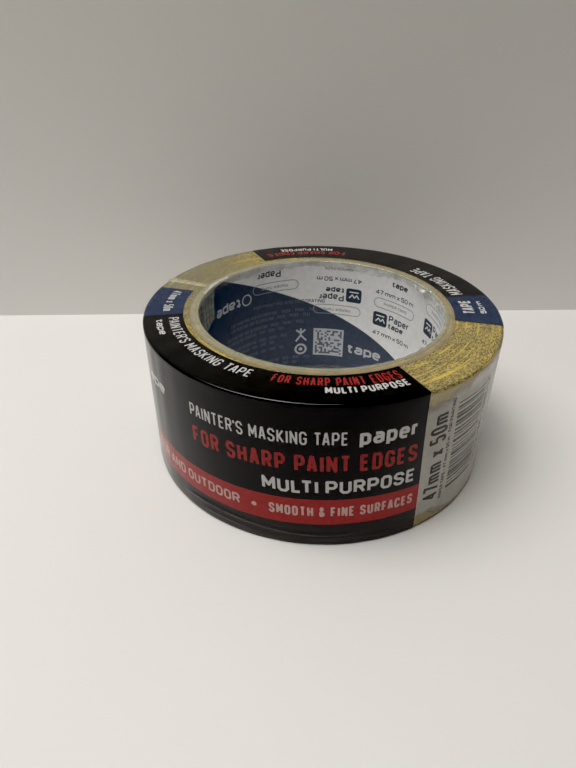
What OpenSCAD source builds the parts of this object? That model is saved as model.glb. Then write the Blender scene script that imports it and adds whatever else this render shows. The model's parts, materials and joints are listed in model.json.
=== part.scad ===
// A new roll of masking tape, still in its printed shrink film, lying flat on one end face.
// The tape is wound on a paperboard core that is built up from helical strips. One tube of film is shrunk over
// the roll: it covers the side and both end faces, and tucks a little way into the bore.
// +Z is the roll's axis. The origin is the middle of the face that the roll lies on.

/* [Tape] */
// Width of the tape, and of the core that it is cut with
tape_w = 47; // [18:1:100]
// Length of tape on the roll, in metres
tape_length_m = 50; // [20:5:66]
// Thickness of one turn: paper backing and adhesive
tape_t = 0.08; // [0.07:0.005:0.14]
// Radius that the film has pressed the winding's outer edges to
edge_r = 0.6; // [0.3:0.1:1.2]
// Angle round the roll where the tape's free end is cut off square
free_end_angle = 60; // [0:5:355]

/* [Core] */
// Inside diameter of the core
core_id = 76; // [50:1:80]
// Number of paperboard plies
ply_count = 5; // [2:1:8]
// Thickness of one paperboard ply
ply_t = 0.58; // [0.4:0.02:0.8]
// Thickness of the printed paper that lines the bore
liner_t = 0.12; // [0.1:0.02:0.2]
// Height that a ply's seam climbs in one full turn
seam_pitch = 107; // [60:1:160]
// Gap where the two edges of a ply's strip meet
seam_gap = 0.5; // [0.3:0.1:1]

/* [Film] */
// Thickness of the shrink film
film_t = 0.12; // [0.1:0.02:0.2]
// Depth that the film tucks into the bore at each end
tuck = 4; // [2:0.5:7]

/* [Hidden] */
$fn = 96;

bore_r = core_id / 2;
plies_r = bore_r + liner_t;
core_r = plies_r + ply_count * ply_t;
// the length of tape and its thickness fill the area between the core and the winding's outside
tape_r = sqrt(core_r * core_r + tape_length_m * 1000 * tape_t / PI);
roll_h = tape_w + 2 * film_t;
tape_base = film_t;
tape_top = film_t + tape_w;
cut_past = 1;
// a seam is cut by short straight blocks laid end to end along its helix
seam_step = 8;
seam_overcut = 0.15;
seam_lap = 1.15;

// One half of a ring's section, with its two outer corners rounded.
module rounded_section(r_in, r_out, base, top, corner) {
    translate([r_in, base]) square([r_out - corner - r_in, top - base]);
    translate([r_in, base + corner]) square([r_out - r_in, top - base - 2 * corner]);
    for (z = [base + corner, top - corner])
        translate([r_out - corner, z]) circle(r = corner);
}

module tube(r_in, r_out, base, height) {
    translate([0, 0, base]) difference() {
        cylinder(r = r_out, h = height);
        translate([0, 0, -cut_past]) cylinder(r = r_in, h = height + 2 * cut_past);
    }
}

// The helical gap between the edges of one ply's strip, as a solid to cut with.
module seam_cut(r_in, r_out, start_angle) {
    r_mid = (r_in + r_out) / 2;
    rise = seam_pitch * seam_step / 360;
    run = PI * r_mid * seam_step / 180;
    block = [r_out - r_in + 2 * seam_overcut, seam_lap * sqrt(rise * rise + run * run), seam_gap];
    steps = ceil(tape_w / rise) + 1;
    for (k = [0:steps])
        rotate([0, 0, start_angle + k * seam_step]) translate([r_mid, 0, tape_base + (k - 0.5) * rise])
            rotate([atan(rise / run), 0, 0]) cube(block, center = true);
}

// Printed paper that lines the bore. Its edges lap, so its wall has no gap.
module core_liner() {
    color("gainsboro") tube(bore_r, plies_r, tape_base, tape_w);
}

// One of the paperboard plies, counted outwards from the liner, each with its seam staggered round from the last.
module core_ply(i) {
    r_in = plies_r + (i - 1) * ply_t;
    r_out = r_in + ply_t;
    color("tan") difference() {
        tube(r_in, r_out, tape_base, tape_w);
        seam_cut(r_in, r_out, i * 360 / ply_count);
    }
}

// All the turns of the tape, wound tight. The outside steps down by one turn at the free end.
module tape_winding() {
    step_run = sqrt(2 * tape_r * tape_t);
    color("goldenrod") difference() {
        rotate_extrude() rounded_section(core_r, tape_r, tape_base, tape_top, edge_r);
        rotate([0, 0, free_end_angle]) translate([tape_r - tape_t, 0, 0])
            cube([cut_past, step_run + cut_past, roll_h]);
    }
}

// One piece of printed film: the side, both end faces and the two tucks into the bore.
module shrink_film() {
    color("black") rotate_extrude() difference() {
        rounded_section(bore_r - film_t, tape_r + film_t, 0, roll_h, edge_r + film_t);
        rounded_section(bore_r, tape_r, tape_base, tape_top, edge_r);
        translate([bore_r - film_t - cut_past, tuck])
            square([film_t + 2 * cut_past, roll_h - 2 * tuck]);
    }
}

core_liner();
for (i = [1:ply_count])
    core_ply(i);
tape_winding();
shrink_film();
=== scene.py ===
"""The looks of a new roll of masking tape, sealed in printed shrink film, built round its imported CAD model.

Lengths are in millimetres and angles in degrees until a mesh is made, where MM turns them into metres. An
angle goes round the roll's axis, anticlockwise from +X seen from above. The film carries its print in its own
coordinates: u is the angle round the roll, and v is the distance along the film's section. It runs from the
edge tucked into the lower end of the bore, out over the lower face, up the side and in over the upper face,
to the edge tucked into the upper end.
"""
import json
import math

import bmesh
import bpy
import numpy as np
from mathutils import Matrix, Vector
from mathutils.geometry import delaunay_2d_cdt


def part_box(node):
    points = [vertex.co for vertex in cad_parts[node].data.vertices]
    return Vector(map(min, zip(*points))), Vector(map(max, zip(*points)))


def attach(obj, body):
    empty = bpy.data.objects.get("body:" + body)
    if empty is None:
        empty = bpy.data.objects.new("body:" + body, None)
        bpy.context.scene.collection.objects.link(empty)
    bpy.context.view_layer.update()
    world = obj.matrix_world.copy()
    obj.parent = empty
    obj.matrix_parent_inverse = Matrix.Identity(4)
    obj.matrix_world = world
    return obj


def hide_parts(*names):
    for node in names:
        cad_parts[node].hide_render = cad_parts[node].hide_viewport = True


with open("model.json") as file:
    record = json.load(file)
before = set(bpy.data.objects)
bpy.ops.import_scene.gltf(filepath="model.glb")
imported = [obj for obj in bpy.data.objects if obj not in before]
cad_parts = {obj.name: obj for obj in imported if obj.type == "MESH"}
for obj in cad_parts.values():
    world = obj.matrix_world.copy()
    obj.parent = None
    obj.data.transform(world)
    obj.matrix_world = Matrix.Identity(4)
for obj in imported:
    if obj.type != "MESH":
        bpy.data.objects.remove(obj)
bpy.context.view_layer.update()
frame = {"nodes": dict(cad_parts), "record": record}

MM = 0.001


# ---------- sizes from the frame

def high_corner(node):
    """Highest x, y and z of a CAD node, in mm."""
    return [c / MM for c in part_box(node)[1]]


def mount(name):
    return next(m for m in frame["record"]["mounts"] if m["name"] == name)


ROLL_H = high_corner("shrink_film")[2]
FILM_R = high_corner("shrink_film")[0]
TAPE_R = high_corner("tape_winding")[0]
TAPE_TOP = high_corner("tape_winding")[2]
TAPE_BASE = ROLL_H - TAPE_TOP
PLIES = 5
CORE_R = high_corner(f"core_ply_{PLIES}")[0]
BORE_R = mount("core_bore")["dims"]["r_mm"]
LINER_R = high_corner("core_liner")[0]

# ---------- the film's shape

FILM_GAP = TAPE_BASE            # the film's outside stands this far off the core's wall and faces
TUCK = 4.0                      # depth of the upright run in the bore
RIM = 0.6                       # radius of the outer edges
LIP = 0.35                      # radius where the film turns into the bore
FILM_T = 0.05                   # thickness of the film
BORE_FILM_R = BORE_R - FILM_GAP
SEAM_AT = 162.0                 # the weld that closes the film's tube
SEAM_HALF = 1.6
FLAP = (163.0, 197.0)           # stretch where the film is tucked deeper into the bore
FLAP_DEPTH = 9.6                # and by how much
CURL = (148.0, 172.0)           # stretch where its edge curls up on the core's rim, paled along it as a painted highlight
GLINTS_AT = 24.0                # middle of the stretch where the upper tuck is bunched up and creased, with painted glints on it
LOOSE_AT = 166.0                # middle of the other stretch where the tucks lie loose
LOOSE_R = 40.2                  # the film lies loose inside this radius
PRINT_END_R = 41.6              # the ink stops here on both faces
PRINT_LEAN = 1.5                # degrees by which the print on the side leans
COLUMN = 0.9                    # degrees between the film's lines
ROW = 0.9                       # the same along its section, in mm


def section_parts():
    """The film's runs and arcs, each as its length and a function from distance to (r, z, nr, nz)."""
    def run(r0, z0, r1, z1, nr, nz):
        length = math.hypot(r1 - r0, z1 - z0)

        def at(d):
            t = d / length
            return r0 + (r1 - r0) * t, z0 + (z1 - z0) * t, nr + 0 * d, nz + 0 * d
        return length, at

    def arc(rc, zc, radius, start, end):
        length = radius * math.radians(abs(end - start))

        def at(d):
            a = np.radians(start + (end - start) * d / length)
            return rc + radius * np.cos(a), zc + radius * np.sin(a), np.cos(a), np.sin(a)
        return length, at

    lip_r = BORE_FILM_R + LIP
    rim_r = FILM_R - RIM
    return [
        run(BORE_FILM_R, TUCK, BORE_FILM_R, LIP, -1, 0),
        arc(lip_r, LIP, LIP, 180, 270),
        run(lip_r, 0, rim_r, 0, 0, -1),
        arc(rim_r, RIM, RIM, 270, 360),
        run(FILM_R, RIM, FILM_R, ROLL_H - RIM, 1, 0),
        arc(rim_r, ROLL_H - RIM, RIM, 0, 90),
        run(rim_r, ROLL_H, lip_r, ROLL_H, 0, 1),
        arc(lip_r, ROLL_H - LIP, LIP, 90, 180),
        run(BORE_FILM_R, ROLL_H - LIP, BORE_FILM_R, ROLL_H - TUCK, -1, 0),
    ]


PARTS = section_parts()
STARTS = np.concatenate([[0], np.cumsum([length for length, _ in PARTS])])
_, V_LIP_LOW, V_BASE, V_RIM_LOW, V_SIDE, V_RIM_TOP, V_TOP, V_LIP_TOP, V_TUCK_TOP, V_END = STARTS


def v_side(z):
    return V_SIDE + z - RIM


def v_top(r):
    return V_TOP + FILM_R - RIM - r


def v_base(r):
    return V_BASE + r - BORE_FILM_R - LIP


def section(v):
    """Radius, height and outward direction (nr, nz) of the film at distances v."""
    v = np.clip(np.asarray(v, float), 0, V_END)
    out = np.zeros((4,) + v.shape)
    which = np.clip(np.searchsorted(STARTS, v, side="right") - 1, 0, len(PARTS) - 1)
    for i, (_, at) in enumerate(PARTS):
        here = which == i
        if here.any():
            out[:, here] = at(v[here] - STARTS[i])
    return out


def smooth(x, low, high):
    """0 below low, 1 above high and a smooth ramp between them."""
    t = np.clip((x - low) / (high - low), 0, 1)
    return t * t * (3 - 2 * t)


def bump(x, middle, half):
    """1 at the middle, falling smoothly to nothing about two halves away."""
    return np.exp(-((x - middle) / half) ** 2)


def turn(u, at):
    """Signed angle from at to u, between -180 and 180."""
    return (np.asarray(u, float) - at + 180) % 360 - 180


def round_axis(r, angle, z):
    """Places at radii r, angles and heights z."""
    a = np.radians(angle)
    return np.stack([r * np.cos(a), r * np.sin(a), z], -1)


def ripples(u, v, seed, count, around, along):
    """Smooth random unevenness, about -1 to 1: a sum of count waves.

    around gives the fewest and most waves in one turn, and along the most waves per mm."""
    rng = np.random.default_rng(seed)
    total = 0
    for _ in range(count):
        n = int(rng.integers(around[0], around[1] + 1))
        k = rng.uniform(-along, along)
        weight = rng.uniform(0.5, 1)
        total = total + weight * np.sin(n * np.radians(u) + math.tau * (k * v + rng.uniform()))
    return total / math.sqrt(count)


DEEPEST_DENT = -0.04            # the film can't sink further into what it covers
PRESSED_FLAT = (0.012, 0.05)    # heights between which the lower face lies off the table

# Creases pressed in the film: (points (angle, z) on the side, half width, height)
CREASES = [
    ([(-134, 4.4), (-128, 5.3), (-120, 5.6), (-110, 5.2), (-100, 4.6), (-88, 4.1), (-76, 4.3)],
     0.36, 0.44),
    ([(-126, 2.6), (-116, 2.9), (-106, 2.2), (-98, 1.8)], 0.40, 0.20),
    ([(-92, 2.3), (-82, 2.9), (-72, 2.6), (-64, 1.9)], 0.40, 0.20),
    ([(46, 5.0), (60, 5.6), (74, 4.6), (88, 4.9)], 0.55, 0.22),
    ([(-30, 41.5), (-26, 43.6), (-22, 44.8)], 0.5, 0.15),
]


def crease_height(u, v):
    z = v - V_SIDE + RIM
    total = 0
    for points, half, height in CREASES:
        us, zs = np.array(points, float).T
        line = np.interp(u, us, zs)
        ends = smooth(u, us[0] - 2, us[0] + 5) * (1 - smooth(u, us[-1] - 5, us[-1] + 2))
        total = total + height * ends * bump(z, line, half) * (0.8 + 0.2 * np.sin(np.radians(u * 11)))
    return total


def swell(u, v):
    """How far the film stands out from its section: tension waves, creases, the weld and the loose tucks."""
    side = smooth(v, V_RIM_LOW, V_SIDE + 3) * (1 - smooth(v, V_RIM_TOP - 3, V_TOP))
    faces = 1 - side
    tuck_top = smooth(v, v_top(LOOSE_R), V_TUCK_TOP)
    tuck_low = 1 - smooth(v, V_LIP_LOW, v_base(LOOSE_R))
    tucks = tuck_top + tuck_low
    taut_faces = faces * (1 - tucks)
    near_rims = bump(v, v_side(2.4), 2.6) + bump(v, v_side(ROLL_H - 2.0), 2.2)
    waves = [                   # (height, seed, count, around, along), as ripples takes them
        (0.045 * side, 3, 9, (2, 9), 0.018),
        (0.018 * side, 4, 12, (8, 26), 0.05),
        (0.030 * near_rims, 5, 12, (16, 60), 0.05),
        (0.030 * taut_faces, 6, 12, (10, 44), 0.05),
        (0.07 * side * bump(turn(u, -146), 0, 16), 9, 8, (24, 60), 0.006),
        (0.05 * side * bump(turn(u, -22), 0, 14), 10, 8, (30, 80), 0.006),
    ]
    d = 0.03 + crease_height(u, v)
    for height, *pattern in waves:
        d = d + height * ripples(u, v, *pattern)
    # the weld: a double strip, with puckers beside it on the faces
    across = turn(u, SEAM_AT)
    strip = smooth(across, -SEAM_HALF - 0.4, -SEAM_HALF) * (1 - smooth(across, SEAM_HALF, SEAM_HALF + 0.4))
    d = d + 0.06 * strip
    ridge = bump(across, 0.2 * np.sin(v * 1.7), 0.75) * taut_faces
    d = d + 0.34 * ridge * (0.75 + 0.25 * np.sin(v * 2.9))
    # tucks: flutes that grow towards the loose edge, and small crumples
    flutes = np.abs(ripples(u, v, 7, 10, (14, 46), 0.06)) ** 1.3
    crumple = np.abs(ripples(u, 3 * v, 8, 14, (60, 150), 0.3))
    loose = 0.35 + bump(turn(u, GLINTS_AT), 0, 24) + 0.5 * bump(turn(u, LOOSE_AT), 0, 20)
    d = d + tucks * loose * (0.34 * flutes + 0.16 * crumple)
    # the upper tuck's bunched stretch: folds, and a ragged shelf under them; then its curled stretch
    folds_and_glints = 1 + ripples(u, v, 14, 12, (50, 110), 0.30)
    bunched = bump(turn(u, GLINTS_AT), 0, 17)
    d = d + 0.30 * tuck_top * bunched * np.maximum(folds_and_glints, 0)
    shelf = V_TUCK_TOP + 1.7 + 0.5 * ripples(u, 0, 15, 6, (6, 30), 0)
    d = d + bunched * bump(v, shelf, 0.8) * (0.35 + np.abs(ripples(u, 0, 16, 8, (30, 80), 0)))
    curled = bump(turn(u, sum(CURL) / 2), 0, 9) * bump(v, V_LIP_TOP + 0.3, 0.9)
    d = d + 0.55 * curled * (0.5 + crumple)
    return np.maximum(d, DEEPEST_DENT)


def tuck_depth(u):
    """How far the film reaches down the bore at each angle: a ragged edge, and one deeper flap."""
    ragged = 0.55 * ripples(u, 0, 11, 8, (5, 18), 0) + 0.28 * ripples(u, 0, 12, 8, (30, 90), 0)
    flap = smooth(turn(u, FLAP[0]), -0.6, 0.6) * (1 - smooth(turn(u, FLAP[1]), -2, 2))
    return np.clip(TUCK - 1.4 + ragged, 1.2, 4.6) + FLAP_DEPTH * flap


def print_skew(v):
    """The print leans by PRINT_LEAN from the bottom of the side to its top."""
    return PRINT_LEAN * (1 - smooth(v, V_SIDE, V_RIM_TOP))


def print_drift(u, v):
    """The print climbs a little round the side, and its inner end wanders round the faces."""
    side = smooth(v, V_BASE + 2, V_SIDE + 4) * (1 - smooth(v, V_RIM_TOP - 5, V_RIM_TOP))
    on_side = 0.5 * np.sin(np.radians(turn(u, -105)))
    inner_end = 1.0 * np.cos(np.radians(turn(u, -185)))
    face = bump(v, v_top(PRINT_END_R), 3.2) - bump(v, v_base(PRINT_END_R), 3.2)
    return side * on_side - face * inner_end


def film_point(u, v):
    """Places (mm) and outward directions of the film's outside at print coordinates u, v."""
    u, v = np.broadcast_arrays(np.asarray(u, float), np.asarray(v, float))
    phi = u + print_skew(v)
    v = v + print_drift(u, v)
    r, z, nr, nz = section(v)
    depth = tuck_depth(phi)
    below_lip = np.clip(v - V_TUCK_TOP, 0, None) / (V_END - V_TUCK_TOP)
    above_lip = np.clip(V_LIP_LOW - v, 0, None) / V_LIP_LOW
    z = z + (0.6 * above_lip - below_lip) * (depth - TUCK)      # the lower tuck's edge wanders less
    d = swell(phi, v)
    # the roll's weight presses its foot flat
    pressed = PRESSED_FLAT[0] + 0.016 * (1 + ripples(phi, v, 13, 10, (10, 44), 0.05))
    r, z = r + nr * d, np.maximum(z + nz * d, np.clip(pressed, *PRESSED_FLAT))
    return round_axis(r, phi, z), round_axis(nr, phi, nz)


# ---------- where the film's print lies

CLEAR, CRINKLED, BLACK, BLUE, RED, WHITE, WELD, FOLDED, TUCKED, CURL_HIGHLIGHT = range(10)
ZONES = [(-60, -11, CLEAR), (-11, 12, BLUE), (12, 120, BLACK)]      # they repeat at the half turn
HALVES = (0, 180)
BAND = (7.9, 16.9)              # heights of the red band
PANEL = (1.2, 46.0)             # heights of the white panel in the clear zone
RIPPLED_R = 39.7                # inside this radius the film is crumpled over the core's edge


def zone_of(u):
    u = (u + 60) % 180 - 60
    return next(ink for start, end, ink in ZONES if start <= u < end)


def ink_at(u, v):
    if v > V_TUCK_TOP and FLAP[0] - 1 < u % 360 < FLAP[1] + 1:
        return FOLDED
    # painted highlight along the curled edge
    if CURL[0] < u < CURL[1] and V_LIP_TOP - 0.3 < v < V_TUCK_TOP + 0.5:
        return CURL_HIGHLIGHT
    if not V_LIP_LOW < v < V_TUCK_TOP:
        return TUCKED
    if not v_base(RIPPLED_R) < v < v_top(RIPPLED_R):
        return CRINKLED
    if abs(turn(u, SEAM_AT)) < SEAM_HALF:
        return WELD
    if not v_base(PRINT_END_R) < v < v_top(PRINT_END_R):
        return CLEAR
    ink = zone_of(u)
    z = v - V_SIDE + RIM
    if ink == BLACK and BAND[0] < z < BAND[1]:
        return RED
    if ink == CLEAR and PANEL[0] < z < PANEL[1]:
        return WHITE
    return ink


def lines_between(low, high, step, fixed):
    """Evenly spaced values from low to high, moved onto the fixed ones."""
    stops = sorted({low, high, *(f for f in fixed if low < f < high)})
    out = [stops[0]]
    for a, b in zip(stops, stops[1:]):
        count = max(1, round((b - a) / step))
        out += [a + (b - a) * k / count for k in range(1, count + 1)]
    return np.array(out)


u_edges = [start + around for start, _, _ in ZONES for around in HALVES]
u_edges += [SEAM_AT + s * w for s in (-1, 1) for w in (SEAM_HALF, SEAM_HALF + 0.4)]
U_LINES = lines_between(-180, 180, COLUMN, [(e + 180) % 360 - 180 for e in u_edges])
V_LINES = lines_between(0, V_END, ROW, [
    *STARTS,
    *(start + f * LIP for start in (V_LIP_LOW, V_LIP_TOP) for f in (0.5, 1.0)),
    *(start + f * RIM for start in (V_RIM_LOW, V_RIM_TOP) for f in (0.4, 0.8, 1.2)),
    *np.arange(V_TUCK_TOP + ROW / 2, V_END, ROW / 2),
    *np.arange(v_side(2.0), v_side(6.6), ROW / 2),
    *(v_side(z) for z in BAND + PANEL),
    *(v_on(r) for v_on in (v_top, v_base) for r in (PRINT_END_R, RIPPLED_R)),
])
GRID_U, GRID_V = np.meshgrid(U_LINES, V_LINES, indexing="ij")
FILM_P, FILM_N = film_point(GRID_U, GRID_V)


def on_film(u, v, lift):
    """Places on the film's own facets, so that ink lies exactly on it."""
    u = turn(u, 0)
    v = np.asarray(v, float)
    i = np.clip(np.searchsorted(U_LINES, u, side="right") - 1, 0, len(U_LINES) - 2)
    j = np.clip(np.searchsorted(V_LINES, v, side="right") - 1, 0, len(V_LINES) - 2)
    s = ((u - U_LINES[i]) / (U_LINES[i + 1] - U_LINES[i]))[:, None]
    t = ((v - V_LINES[j]) / (V_LINES[j + 1] - V_LINES[j]))[:, None]

    def mix(grid):
        low = grid[i, j] * (1 - s) + grid[i + 1, j] * s
        high = grid[i, j + 1] * (1 - s) + grid[i + 1, j + 1] * s
        return low * (1 - t) + high * t
    return mix(FILM_P) + lift * mix(FILM_N)


# ---------- meshes

def new_object(name, data):
    made = bpy.data.objects.new(name, data)
    bpy.context.scene.collection.objects.link(made)
    return made


def make_object(name, verts, faces, materials, indices=None, flat=False):
    mesh = bpy.data.meshes.new(name)
    mesh.from_pydata((np.asarray(verts) * MM).tolist(), [], [list(map(int, f)) for f in faces])
    for material in materials:
        mesh.materials.append(material)
    if indices is not None:
        mesh.polygons.foreach_set("material_index", np.asarray(indices, np.int32))
    mesh.polygons.foreach_set("use_smooth", np.full(len(mesh.polygons), not flat))
    mesh.validate()
    mesh.update()
    return new_object(name, mesh)


def make_solid(name, verts, faces, materials, indices=None, flat=False):
    """The same for a closed solid: corners that meet are joined, and every face looks outwards."""
    made = make_object(name, verts, faces, materials, indices, flat)
    bm = bmesh.new()
    bm.from_mesh(made.data)
    bmesh.ops.remove_doubles(bm, verts=bm.verts, dist=2e-8)
    bmesh.ops.recalc_face_normals(bm, faces=bm.faces)
    bm.to_mesh(made.data)
    bm.free()
    return made


def make_shell(name, outside, inside, materials, ink):
    """A thin closed skin from two grids that go once round the roll. ink(i, j) gives each cell's material."""
    nu, nv = outside.shape[0] - 1, outside.shape[1]     # the last column repeats the first
    verts = np.concatenate([outside[:-1].reshape(-1, 3), inside[:-1].reshape(-1, 3)])
    second = nu * nv
    faces, indices = [], []
    for i in range(nu):
        k = (i + 1) % nu
        for j in range(nv - 1):
            a, b, c, d = i * nv + j, k * nv + j, k * nv + j + 1, i * nv + j + 1
            faces += [(a, b, c, d), (second + d, second + c, second + b, second + a)]
            indices += [ink(i, j)] * 2
        for j, flip in ((0, False), (nv - 1, True)):
            a, b = i * nv + j, k * nv + j
            edge = (a, second + a, second + b, b)
            faces.append(edge[::-1] if flip else edge)
            indices.append(ink(i, min(j, nv - 2)))
    return make_solid(name, verts, faces, materials, indices)


# ---------- lettering: a plain squared face drawn with strokes

GLYPH_H = 6
# Each glyph's width between the middles of its outer strokes, and the points of its strokes
GLYPHS = {
    "A": (4, ["00 1.7,6 2.3,6 40", "0.7,1.8 3.3,1.8"]),
    "C": (4, ["4,4.4 45 36 16 05 01 10 30 41 4,1.6"]),
    "D": (4, ["00 06 36 45 41 30 00"]),
    "E": (3.4, ["3.4,6 06 00 3.4,0", "0,3.1 3,3.1"]),
    "F": (3.4, ["3.4,6 06 00", "0,3 3,3"]),
    "G": (4, ["4,4.6 45 36 16 05 01 10 30 41 4,2.9 2.3,2.9"]),
    "H": (4, ["00 06", "40 46", "03 43"]),
    "I": (0, ["00 06"]),
    "K": (4, ["00 06", "3.8,6 1,3.1 4,0", "0,3.1 1,3.1"]),
    "L": (3.2, ["06 00 3.2,0"]),
    "M": (5, ["00 06 2.5,1.8 56 50"]),
    "N": (4, ["00 06 40 46"]),
    "O": (4, ["10 01 05 16 36 45 41 30 10"]),
    "P": (4, ["00 06 36 45 4,3.6 3,2.6 0,2.6"]),
    "R": (4, ["00 06 36 45 4,3.8 3.2,2.9 0,2.9", "2.2,2.9 40"]),
    "S": (4, ["4,4.7 45 36 16 05 04 1,3.2 3,2.8 42 41 30 10 01 0,1.3"]),
    "T": (4, ["06 46", "26 20"]),
    "U": (4, ["06 01 10 30 41 46"]),
    "a": (3.2, ["0.2,4.2 2.4,4.2 3.2,3.6 3.2,0", "3.2,2.4 0.8,2.4 0,1.7 0,0.7 0.7,0 2.4,0 3.2,0.7"]),
    "e": (3.2, ["0,2.2 3.2,2.2 3.2,3.4 2.4,4.2 0.8,4.2 0,3.4 0,0.8 0.8,0 3,0"]),
    "m": (6.0, ["00 0,4.2 2.4,4.2 3,3.6 3,0", "3,3.6 3.6,4.2 5.4,4.2 6,3.6 60"]),
    "p": (3.2, ["0,-1.8 0,4.2 2.4,4.2 3.2,3.4 3.2,0.8 2.4,0 0,0"]),
    "r": (1.8, ["00 0,4.2 1.8,4.2"]),
    "t": (1.8, ["0.4,5.6 0.4,0.6 0.9,0 1.8,0", "-0.5,4.2 1.8,4.2"]),
    "x": (3.2, ["00 3.2,4.2", "0,4.2 3.2,0"]),
    "0": (3.8, ["10 01 05 16 2.8,6 3.8,5 3.8,1 2.8,0 10"]),
    "1": (1.4, ["0,5 1.2,6 1.2,0"]),
    "2": (3.8, ["0,4.8 05 16 2.8,6 3.8,5 3.8,4 0,0.6 0,0 3.8,0"]),
    "3": (3.8, ["05 16 2.8,6 3.8,5 3.8,4 3,3.1 3.8,2.2 3.8,1 2.8,0 10 01", "1.4,3.1 3,3.1"]),
    "4": (4, ["3,0 3,6 0,2 0,1.6 4,1.6"]),
    "5": (3.8, ["3.6,6 0,6 0,3.4 2.8,3.6 3.8,2.8 3.8,1 2.8,0 10 01"]),
    "6": (3.8, ["3.6,5.4 2.8,6 16 05 01 10 2.8,0 3.8,1 3.8,2.6 2.8,3.4 0,3.4"]),
    "7": (3.8, ["0,6 3.8,6 1.2,0"]),
    "8": (3.8, ["10 01 0,2.2 0.8,3.1 0,4 05 16 2.8,6 3.8,5 3.8,4 3,3.1 3.8,2.2 3.8,1 2.8,0 10",
                "0.8,3.1 3,3.1"]),
    "9": (3.8, ["0.2,0.6 10 2.8,0 3.8,1 3.8,5 2.8,6 16 05 0,3.6 1,2.6 3.8,2.6"]),
    "-": (2.2, ["0,2.6 2.2,2.6"]),
    "&": (4.2, ["4.2,0 0.8,4.6 0.8,5.4 1.4,6 2.2,6 2.8,5.4 2.8,4.6 0.3,2.2 0.3,0.8 1.1,0 2.4,0 4,2.4"]),
    "'": (0, ["0,6 0,4.6"]),
}
# How much closer some pairs of letters stand
CLOSER = {"LT": 1.2, "TA": 0.8, "AT": 0.8, "PA": 0.7, "FA": 0.6, "R'": 0.4, "'S": 0.4, "47": 0.3}


def stroke_points(text):
    """Turns "00 1.7,6" into points: two single digits, or two numbers with a comma between them."""
    return [tuple(map(float, p.split(",") if "," in p else p)) for p in text.split()]


def arc_points(x, y, radius, angles):
    return [(x + radius * math.cos(math.radians(a)), y + radius * math.sin(math.radians(a))) for a in angles]


def rectangle(x0, y0, x1, y1):
    return [(x0, y0), (x1, y0), (x1, y1), (x0, y1)]


def stroke_shapes(points, weight):
    """Convex outlines that together cover a stroke: a bar for each stretch and a small disc at each bend."""
    half = weight / 2
    shapes = []
    for (x0, y0), (x1, y1) in zip(points, points[1:]):
        length = math.hypot(x1 - x0, y1 - y0)
        nx, ny = -(y1 - y0) / length * half, (x1 - x0) / length * half
        shapes.append([(x0 + nx, y0 + ny), (x0 - nx, y0 - ny), (x1 - nx, y1 - ny), (x1 + nx, y1 + ny)])
    bends = points[1:-1] + ([points[0]] if points[0] == points[-1] else [])
    return shapes + [arc_points(x, y, half, range(22, 382, 45)) for x, y in bends]


def united(shapes):
    """Triangles (as lists of (x, y)) that cover a set of overlapping convex outlines once."""
    points, faces = [], []
    for shape in shapes:
        faces.append(list(range(len(points), len(points) + len(shape))))
        points += [Vector(p) for p in shape]
    verts, _, tris, _, _, sources = delaunay_2d_cdt(points, [], faces, 1, 1e-4)
    return [[tuple(verts[k]) for k in tri] for tri, source in zip(tris, sources) if source]


def line_shapes(text, height, width, weight):
    """Each glyph's outlines for a line of text with capitals of that height, that is `width` long in all."""
    between, word = 0.12 * height, 0.42 * height
    letters = text.replace(" ", "")
    fixed = len(letters) * weight + (len(letters) - 1 - text.count(" ")) * between + text.count(" ") * word
    closer = [CLOSER.get(a + b, 0) for a, b in zip(text, text[1:] + " ")]
    sx = (width - fixed) / (sum(GLYPHS[c][0] for c in letters) - sum(closer))
    sy = (height - weight) / GLYPH_H
    x, glyphs = weight / 2, []
    for c, nearer in zip(text, closer):
        if c == " ":
            x += word - between
            continue
        wide, strokes = GLYPHS[c]
        shapes = []
        for stroke in strokes:
            points = [(x + px * sx, weight / 2 + py * sy) for px, py in stroke_points(stroke)]
            shapes += stroke_shapes(points, weight)
        glyphs.append(shapes)
        x += (wide - nearer) * sx + weight + between
    return glyphs


def cut_along(piece, axis, lines):
    """Cuts one convex outline at every line that crosses it, across the given axis."""
    low, high = min(p[axis] for p in piece), max(p[axis] for p in piece)
    for line in lines[np.searchsorted(lines, low + 1e-4):np.searchsorted(lines, high - 1e-4)]:
        near, far = [], []
        for p, q in zip(piece, piece[1:] + piece[:1]):
            side = p[axis] - line
            if side <= 0:
                near.append(p)
            if side >= 0:
                far.append(p)
            if side * (q[axis] - line) < 0:
                t = (line - p[axis]) / (q[axis] - p[axis])
                crossing = [p[0] + (q[0] - p[0]) * t, p[1] + (q[1] - p[1]) * t]
                crossing[axis] = float(line)
                near.append(tuple(crossing))
                far.append(tuple(crossing))
        if len(near) > 2:
            yield near
        piece = far
    if len(piece) > 2:
        yield piece


INK_T = 0.02                    # the ink's relief
INK_SUNK = 0.004                # its underside lies this far below the surface


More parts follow.
